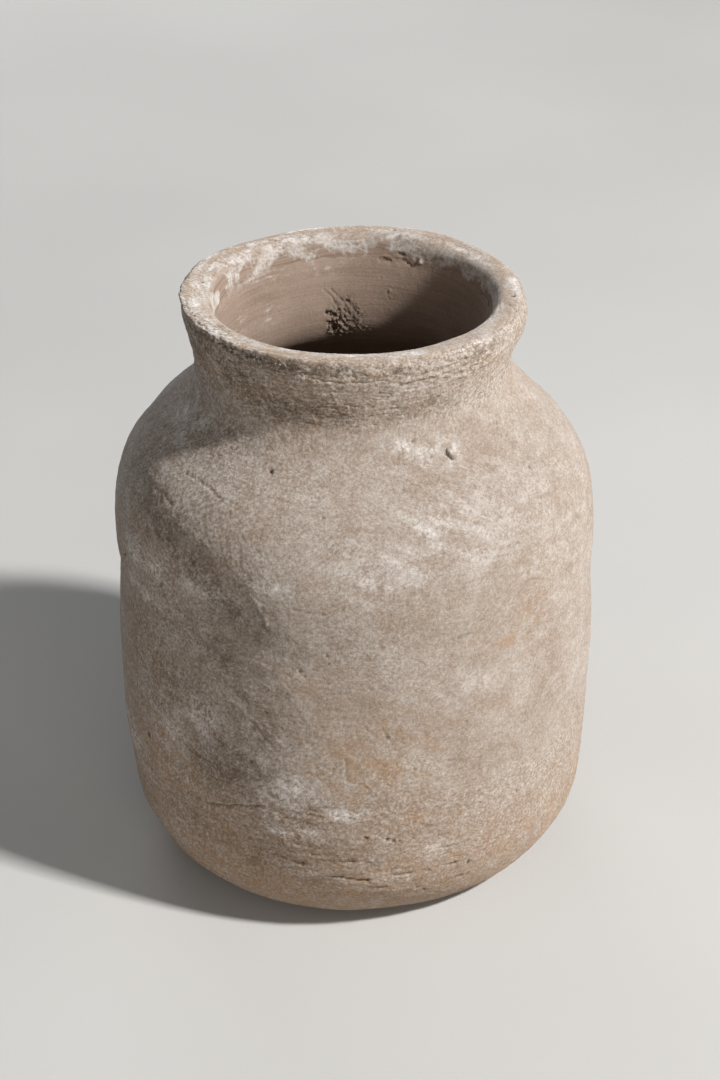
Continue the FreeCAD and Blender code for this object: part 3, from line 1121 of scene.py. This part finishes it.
class Seam:
    """Where a slip joint meets the outside and the inside of the wall, as distances along the
    skin at each column. It strays a little from its level, and the topmost follows the crease."""

    def __init__(self, index):
        low, high = (corner.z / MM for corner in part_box(JOINTS[index]))
        around = ring(TURNS)
        stray = 0.9 * noise(around, 60, 200 + index) + 0.4 * noise(around, 14, 210 + index)
        if index == len(JOINTS) - 1:
            crease = np.interp(TURNS, CREASE_TURNS, CREASE_HEIGHTS)
            stray = np.clip(crease - low, *RIM_STRAY)
        self.outer_low = SKIN.outside(low + stray)
        self.outer_high = self.outer_low + SLIP
        self.inner_high = level_row(SKIN.inside(high))
        self.inner_low = level_row(SKIN.inside(high - SLIP))


def wall_mesh(name, outer, inner, inner_share=1.0, has_floor=False):
    """A round of wall from its outer and inner rows, with a joint's face above them and another
    below, or closed at the axis below if it has a floor."""
    grid = Grid(COLUMNS)
    grid.add_skin(*outer)
    grid.add_joint_face(outer[0][-1], inner[0][0])
    grid.add_skin(*inner, share=inner_share)
    if has_floor:
        return build(name, grid, ends=((0, 0, 0), inner[0][-1].mean(axis=0)))
    grid.add_joint_face(inner[0][-1], outer[0][0])
    return build(name, grid)


def section_mesh(index):
    """A clay section between its two slip joints. The first starts at the foot's centre and ends
    at the floor's, and the last runs over the lip. The collar's inside shows above the coat."""
    below = SEAMS[index - 1] if index > 0 else None
    above = SEAMS[index] if index < len(SEAMS) else None
    is_collar = SECTIONS[index] == "neck_collar"
    if above is None:
        skin = worked(rows_between(below.outer_high, below.inner_high, FINER))
        grid = Grid(COLUMNS)
        grid.add_skin(*skin)
        grid.add_joint_face(skin[0][-1], skin[0][0])
        return build(SECTIONS[index], grid)
    if below is None:
        foot = level_row(SKIN.outside(FOOT_TOP) - FOOT_IN)
        under = rows_between(level_row(POLE), foot, UNDER_FOOT)
        wall = rows_between(foot, above.outer_low, FINE, most=FOOT_ROWS)
        outer = np.vstack([under[:-1], wall])
        end = level_row(SKIN.s[-1] - POLE)
    else:
        spacing = FINER if is_collar else FINE
        outer = rows_between(below.outer_high, above.outer_low, spacing, most=MOST_ROWS)
        end = below.inner_high
    inner = rows_between(above.inner_low, end, COARSE)
    if is_collar:
        shown = level_row(COAT_TOP + 2 * COAT_RAGGED)
        inner = rows_between(above.inner_low, shown, FINE)
        inner = np.vstack([inner, rows_between(shown, end, COARSE)[1:]])
    share = 1.0 if is_collar else HIDDEN_SHARE
    return wall_mesh(SECTIONS[index], worked(outer), worked(inner), share, below is None)


def slip_mesh(index):
    """The thin layer of slip between two sections, flush with them on both sides."""
    seam = SEAMS[index]
    outer = worked(rows_between(seam.outer_low, seam.outer_high, SLIP / 2))
    inner = worked(rows_between(seam.inner_high, seam.inner_low, SLIP))
    return wall_mesh(JOINTS[index], outer, inner)


def coat_mesh():
    """The coat inside, from the floor's centre up its hidden side, over its ragged edge, and down
    the side that shows."""
    turns = np.linspace(-180, 180, COAT_COLUMNS, endpoint=False)
    edge = coat_edge(turns)
    breaks = SKIN.inside(COAT_NECK), SKIN.inside(COAT_LOW), SKIN.s[-1] - POLE
    neck, floor, centre = (np.full(COAT_COLUMNS, s) for s in breaks)
    rows = [
        rows_between(edge, neck, COAT_FINE),
        rows_between(neck, floor, COAT_COARSE)[1:],
        rows_between(floor, centre, COAT_FLOOR)[1:],
    ]
    face = worked(np.vstack(rows), coat, turns)
    back = worked(rows_between(centre, edge + COAT_LAP, COAT_BACK), coat_back, turns)
    grid = Grid(COAT_COLUMNS)
    grid.add_skin(*back, share=HIDDEN_SHARE)
    grid.add_skin(*face)
    return build(COAT_NODE, grid, ends=(back[0][0].mean(axis=0), face[0][-1].mean(axis=0)))


# ---------------------------------------------------------------- materials


def linear(red, green, blue):
    """A colour given as it looks on a screen, from 0 to 255, as Blender takes it."""
    part = np.array([red, green, blue]) / 255
    made = np.where(part <= 0.04045, part / 12.92, ((part + 0.055) / 1.055) ** 2.4)
    return (*(float(value) for value in made), 1.0)


PALE = linear(181, 171, 161)
MID = linear(164, 151, 140)
TAN = linear(147, 128, 111)
CHALK = linear(209, 203, 198)
# the colour of dark stains and of painted shade
DARK_AND_SHADE = linear(88, 79, 68)
# the colour of ochre stains and of painted shade on the neck's left
OCHRE_AND_SHADE = linear(160, 134, 109)
# the colour of earth and of painted warm light bounced up from below
EARTH_AND_BOUNCE = linear(162, 134, 108)
# painted shade for cracks, pits, the crease and the joints' faces
RECESS_SHADE = linear(66, 54, 44)
COAT_PALE = linear(158, 138, 123)
COAT_DEEP = linear(136, 116, 101)
SLIP_PALE, SLIP_MID = linear(184, 173, 162), linear(161, 147, 134)
PAPER_PALE, PAPER_MID = linear(191, 188, 184), linear(186, 183, 179)
SPECULAR, DIFFUSE_ROUGHNESS = 0.25, 0.6  # dull, dusty surfaces
# Strokes: degrees they climb to the right, length, width, number of the patches they lie in
STROKES = [(0, 16, 1.2, 3), (40, 11, 1.2, 5), (-34, 12, 1.1, 8)]


class Look:
    """A material's nodes. Textures are laid out in millimetres."""

    def __init__(self, name):
        self.material = bpy.data.materials.new(name)
        self.material.use_nodes = True
        self.tree = self.material.node_tree
        self.tree.nodes.clear()
        coordinates = self.node("ShaderNodeTexCoord").outputs["Object"]
        self.point = self.vector("MULTIPLY", coordinates, (1 / MM,) * 3)
        self.unrolled = self.mark("unrolled", "Vector")

    def node(self, kind, inputs=None, **settings):
        made = self.tree.nodes.new(kind)
        for name, value in settings.items():
            setattr(made, name, value)
        for key, value in (inputs or {}).items():
            if isinstance(value, bpy.types.NodeSocket):
                self.tree.links.new(value, made.inputs[key])
            else:
                made.inputs[key].default_value = value
        return made

    def mark(self, name, output="Fac"):
        return self.node("ShaderNodeAttribute", attribute_name=name).outputs[output]

    def math(self, operation, a, b=0.0, c=0.0):
        return self.node("ShaderNodeMath", {0: a, 1: b, 2: c}, operation=operation).outputs[0]

    def vector(self, operation, a, b):
        return self.node("ShaderNodeVectorMath", {0: a, 1: b}, operation=operation).outputs[0]

    def total(self, terms):
        """The sum of (share, value) pairs."""
        result = 0.0
        for share, value in terms:
            result = self.math("MULTIPLY_ADD", value, share, result)
        return result

    def noise(self, vector, size, detail=2.0, roughness=0.5):
        inputs = {"Vector": vector, "Scale": 1 / size, "Detail": detail, "Roughness": roughness}
        return self.node("ShaderNodeTexNoise", inputs).outputs[0]

    def span(self, value, low, high, to_low=0.0, to_high=1.0):
        """value from low to high, made to run smoothly from to_low to to_high."""
        inputs = {0: value, 1: low, 2: high, 3: to_low, 4: to_high}
        made = self.node("ShaderNodeMapRange", inputs, interpolation_type="SMOOTHSTEP")
        return made.outputs[0]

    def centred(self, value, contrast):
        """value with its distance from a half multiplied."""
        return self.math("MULTIPLY_ADD", self.math("SUBTRACT", value, 0.5), contrast, 0.5)

    def mix(self, factor, a, b, blend_type="MIX"):
        inputs = {0: factor, 6: a, 7: b}
        made = self.node("ShaderNodeMix", inputs, data_type="RGBA", blend_type=blend_type)
        return made.outputs[2]

    def stained_and_shaded(self, colour, mark, share, stain_and_shade):
        """colour turned to the colour of a stain, or of painted shade, by a share of the mark's
        strength.
        """
        return self.mix(self.math("MULTIPLY", self.mark(mark), share), colour, stain_and_shade)

    def warped(self, vector, amount, size):
        """vector pushed about by up to amount, in swirls of that size."""
        inputs = {"Vector": vector, "Scale": 1 / size, "Detail": 1.0}
        swirl = self.node("ShaderNodeTexNoise", inputs).outputs[1]
        centred = self.vector("SUBTRACT", swirl, (0.5, 0.5, 0.5))
        return self.vector("ADD", vector, self.vector("MULTIPLY", centred, (2 * amount,) * 3))

    def strokes(self, slope, length, width, detail=2.0):
        """Brush or scraper strokes. slope is how many degrees they climb to the right, or 0 for
        level ones."""
        wavy = self.warped(self.unrolled, 5, 34)
        if slope == 0:
            scale = (1 / length, 1 / length, 1 / width)
        else:
            height = self.node("ShaderNodeSeparateXYZ", {0: wavy}).outputs[2]
            turn = self.math("MULTIPLY", height, -1 / (UNROLLED_R * math.tan(math.radians(slope))))
            inputs = {"Vector": wavy, "Angle": turn}
            wavy = self.node("ShaderNodeVectorRotate", inputs, rotation_type="Z_AXIS").outputs[0]
            scale = (1 / width, 1 / width, 1 / length)
        return self.noise(self.vector("MULTIPLY", wavy, scale), 1, detail, 0.6)

    def height(self):
        """The height above the floor."""
        return self.node("ShaderNodeSeparateXYZ", {0: self.point}).outputs[2]

    def finish(self, colour, roughness, heights):
        """The surface, with bumps from (millimetres, value) pairs."""
        inputs = {"Height": self.total(heights), "Distance": MM, "Strength": 1.0}
        bump = self.node("ShaderNodeBump", inputs).outputs[0]
        inputs = {"Base Color": colour, "Roughness": roughness, "Normal": bump}
        surface = self.node("ShaderNodeBsdfPrincipled", inputs)
        surface.inputs["Specular IOR Level"].default_value = SPECULAR
        surface.inputs["Diffuse Roughness"].default_value = DIFFUSE_ROUGHNESS
        self.node("ShaderNodeOutputMaterial", {"Surface": surface.outputs[0]})
        return self.material


def hand_strokes(look):
    """Thin strokes in patches of three directions, from about 0.3 to 0.7. On the neck they are
    all level."""
    terms = []
    below_neck = look.span(look.height(), 287, 268)
    for slope, length, width, offset in STROKES:
        moved = look.vector("ADD", look.point, (31.0 * offset, 17.0, 5.0))  # other patches for each
        patch = look.span(look.noise(moved, 40, 1), 0.47, 0.62)
        if slope == 0:
            patch = look.math("MAXIMUM", patch, look.math("SUBTRACT", 1.0, below_neck))
        else:
            patch = look.math("MULTIPLY", patch, below_neck)
        stroke = look.math("SUBTRACT", look.strokes(slope, length, width, 1.0), 0.5)
        terms.append((1.2, look.math("MULTIPLY", stroke, patch)))
    return look.math("ADD", look.total(terms), 0.5)


def grey(look, value):
    """A shade of grey from one value."""
    return look.node("ShaderNodeCombineColor", {0: value, 1: value, 2: value}).outputs[0]


def clay_look(name, pale, mid):
    """Fired clay, scraped and rubbed with a chalky wash, that the marks stain, some of them as
    painted shade. It is warmer low down, partly earth and partly painted warm light bounced up from
    below, and like the coat where it is bare."""
    look = Look(name)
    rough = look.mark("rough")
    strokes = look.centred(hand_strokes(look), look.span(rough, 0.3, 2.0, 0.6, 1.3))
    cloudy = look.noise(look.point, 34, 4, 0.6)
    blotchy = look.noise(look.point, 8, 3, 0.65)
    grain = look.noise(look.point, 1.6, 4, 0.8)
    grain = look.centred(grain, look.span(rough, 0.3, 2.0, 0.9, 2.2))
    fine = look.noise(look.point, 0.6, 2, 0.7)

    tone = look.total([(0.75, cloudy), (0.5, blotchy), (0.5, strokes), (0.85, grain)])
    colour = look.mix(look.span(tone, 0.95, 1.4), TAN, mid)
    colour = look.mix(look.span(tone, 1.25, 1.75), colour, pale)
    broken = look.total([(0.6, blotchy), (0.25, strokes), (0.4, grain)])
    in_hollows = look.span(broken, 0.48, 0.82, 0.9, 0.1)
    # ochre stains, and painted shade on the neck's left
    colour = look.stained_and_shaded(colour, "ochre_and_shade", in_hollows, OCHRE_AND_SHADE)
    # dark stains, and painted shade down the left, on the neck and under the lip
    colour = look.stained_and_shaded(colour, "dark_and_shade", in_hollows, DARK_AND_SHADE)
    colour = look.stained_and_shaded(colour, "chalk", look.span(broken, 0.44, 0.74), CHALK)
    # warmer towards the foot: earth, and painted warm light bounced up from below
    earth_and_bounce = look.span(broken, 0.8, 0.45, 0.2, 0.7)
    low_down = look.math("MULTIPLY", look.span(look.height(), 120, 20), earth_and_bounce)
    colour = look.mix(low_down, colour, EARTH_AND_BOUNCE)
    speckle = look.span(look.total([(0.5, grain), (0.5, fine)]), 0.3, 0.7, 0.72, 1.24)
    colour = look.mix(1.0, colour, grey(look, speckle), "MULTIPLY")
    inner = look.mix(look.span(look.strokes(0, 60, 1.2), 0.35, 0.65), COAT_DEEP, COAT_PALE)
    colour = look.mix(look.span(look.mark("bare"), 0.2, 0.8), colour, inner)
    # painted shade in cracks, pits and the crease
    colour = look.stained_and_shaded(colour, "recess_shade", 0.9, RECESS_SHADE)
    roughness = look.span(tone, 1.2, 2.0, 0.95, 0.85)
    heights = [(0.06, strokes), (0.19, grain), (0.14, fine), (0.3, blotchy)]
    return look.finish(colour, roughness, heights)


def coat_look(name):
    """The thin brown-grey coat inside, brushed on level, with chalk wiped over its edge."""
    look = Look(name)
    brushed, wide = (
        look.noise(look.vector("MULTIPLY", look.unrolled, scale), 1, 1)
        for scale in [(1 / 50, 1 / 50, 1 / 1.1), (1 / 80, 1 / 80, 1 / 6)]
    )
    cloudy = look.noise(look.point, 26, 3)
    grain = look.noise(look.point, 1.2, 1)
    tone = look.total([(0.5, brushed), (0.3, wide), (0.7, cloudy), (0.5, grain)])
    colour = look.mix(look.span(tone, 0.7, 1.3), COAT_DEEP, COAT_PALE)
    colour = look.stained_and_shaded(colour, "chalk", look.span(tone, 0.8, 1.3), CHALK)
    colour = look.stained_and_shaded(colour, "dark_and_shade", 0.3, DARK_AND_SHADE)
    # painted shade in the coat's pits and cuts
    colour = look.stained_and_shaded(colour, "recess_shade", 0.9, RECESS_SHADE)
    roughness = look.span(tone, 0.8, 1.3, 0.86, 0.72)
    return look.finish(colour, roughness, [(0.07, brushed), (0.05, wide), (0.1, grain)])


def floor_look():
    """Plain pale matt paper."""
    look = Look("pale_paper")
    shade = look.span(look.noise(look.point, 400, 2), 0.3, 0.7)
    colour = look.mix(shade, PAPER_MID, PAPER_PALE)
    return look.finish(colour, 0.9, [(0.1, look.noise(look.point, 3, 2))])


# ---------------------------------------------------------------- the studio

CAMERA_PLACE = (0.0, -1.17667, 0.83956)
CAMERA_DOWN, CAMERA_ROLL = 29.40, -0.37  # degrees
CAMERA_LENS, CAMERA_SENSOR = 85.0, 36.0
CAMERA_SHIFT = 0.0051, -0.0047
FLOOR_HALF = 15.0
LAMP_TARGET = (0, 0, 0.17)
SKY_COLOUR, SKY_STRENGTH = (0.8, 0.9, 1.0, 1), 0.19
# Lamps: name, place, width, height, watts, colour
LAMPS = [
    ("key", (1.63, -0.93, 1.92), 0.2, 0.2, 96, (0.985, 0.995, 1.0)),
    ("fill", (0.6, -2.5, 0.8), 1.4, 1.2, 15, (1.0, 0.88, 0.75)),
    ("back", (-0.7, 2.5, 1.1), 1.6, 1.6, 42, (0.96, 0.98, 1.0)),
]


def aimed(place, target):
    """A matrix that stands at place and looks at target."""
    way = Vector(target) - Vector(place)
    return Matrix.Translation(place) @ way.to_track_quat("-Z", "Y").to_matrix().to_4x4()


def add_lamp(name, place, width, height, power, colour):
    lamp = bpy.data.lights.new(name, "AREA")
    lamp.shape = "RECTANGLE"
    lamp.size, lamp.size_y, lamp.energy, lamp.color = width, height, power, colour
    added(name, lamp).matrix_world = aimed(place, LAMP_TARGET)


def add_camera():
    lens = bpy.data.cameras.new("camera")
    lens.lens, lens.sensor_fit, lens.sensor_height = CAMERA_LENS, "VERTICAL", CAMERA_SENSOR
    lens.shift_x, lens.shift_y = CAMERA_SHIFT
    lens.clip_start, lens.clip_end = 0.01, 50
    camera = added("camera", lens)
    tilt = Matrix.Rotation(math.radians(90 - CAMERA_DOWN), 4, "X")
    roll = Matrix.Rotation(math.radians(CAMERA_ROLL), 4, "Z")
    camera.matrix_world = Matrix.Translation(CAMERA_PLACE) @ tilt @ roll
    bpy.context.scene.camera = camera


def add_floor():
    mesh = bpy.data.meshes.new("floor")
    corners = [(x * FLOOR_HALF, y * FLOOR_HALF, 0) for x, y in [(-1, -1), (1, -1), (1, 1), (-1, 1)]]
    mesh.from_pydata(corners, [], [(0, 1, 2, 3)])
    mesh.materials.append(floor_look())
    floor = added("floor", mesh)


def add_world():
    world = bpy.data.worlds.new("studio")
    world.use_nodes = True
    sky = world.node_tree.nodes["Background"]
    sky.inputs["Color"].default_value = SKY_COLOUR
    sky.inputs["Strength"].default_value = SKY_STRENGTH
    bpy.context.scene.world = world


# ---------------------------------------------------------------- everything together

SEAMS = [Seam(index) for index in range(len(JOINTS))]


def place_piece(piece, node, material):
    """A piece that stands for a CAD node, with a material in its mesh's slot."""
    piece.name = "worked_" + node
    piece.data.materials.append(material)
    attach(piece, "root")
    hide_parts(node)


clay_material = clay_look("outer_clay", PALE, MID)
slip_material = clay_look("joint_slip", SLIP_PALE, SLIP_MID)
coat_material = coat_look("seal_coat")
for index, node in enumerate(SECTIONS):
    place_piece(section_mesh(index), node, clay_material)
for index, node in enumerate(JOINTS):
    place_piece(slip_mesh(index), node, slip_material)
place_piece(coat_mesh(), COAT_NODE, coat_material)

add_floor()
add_world()
for lamp in LAMPS:
    add_lamp(*lamp)
add_camera()
bpy.context.scene.view_settings.view_transform = "Standard"
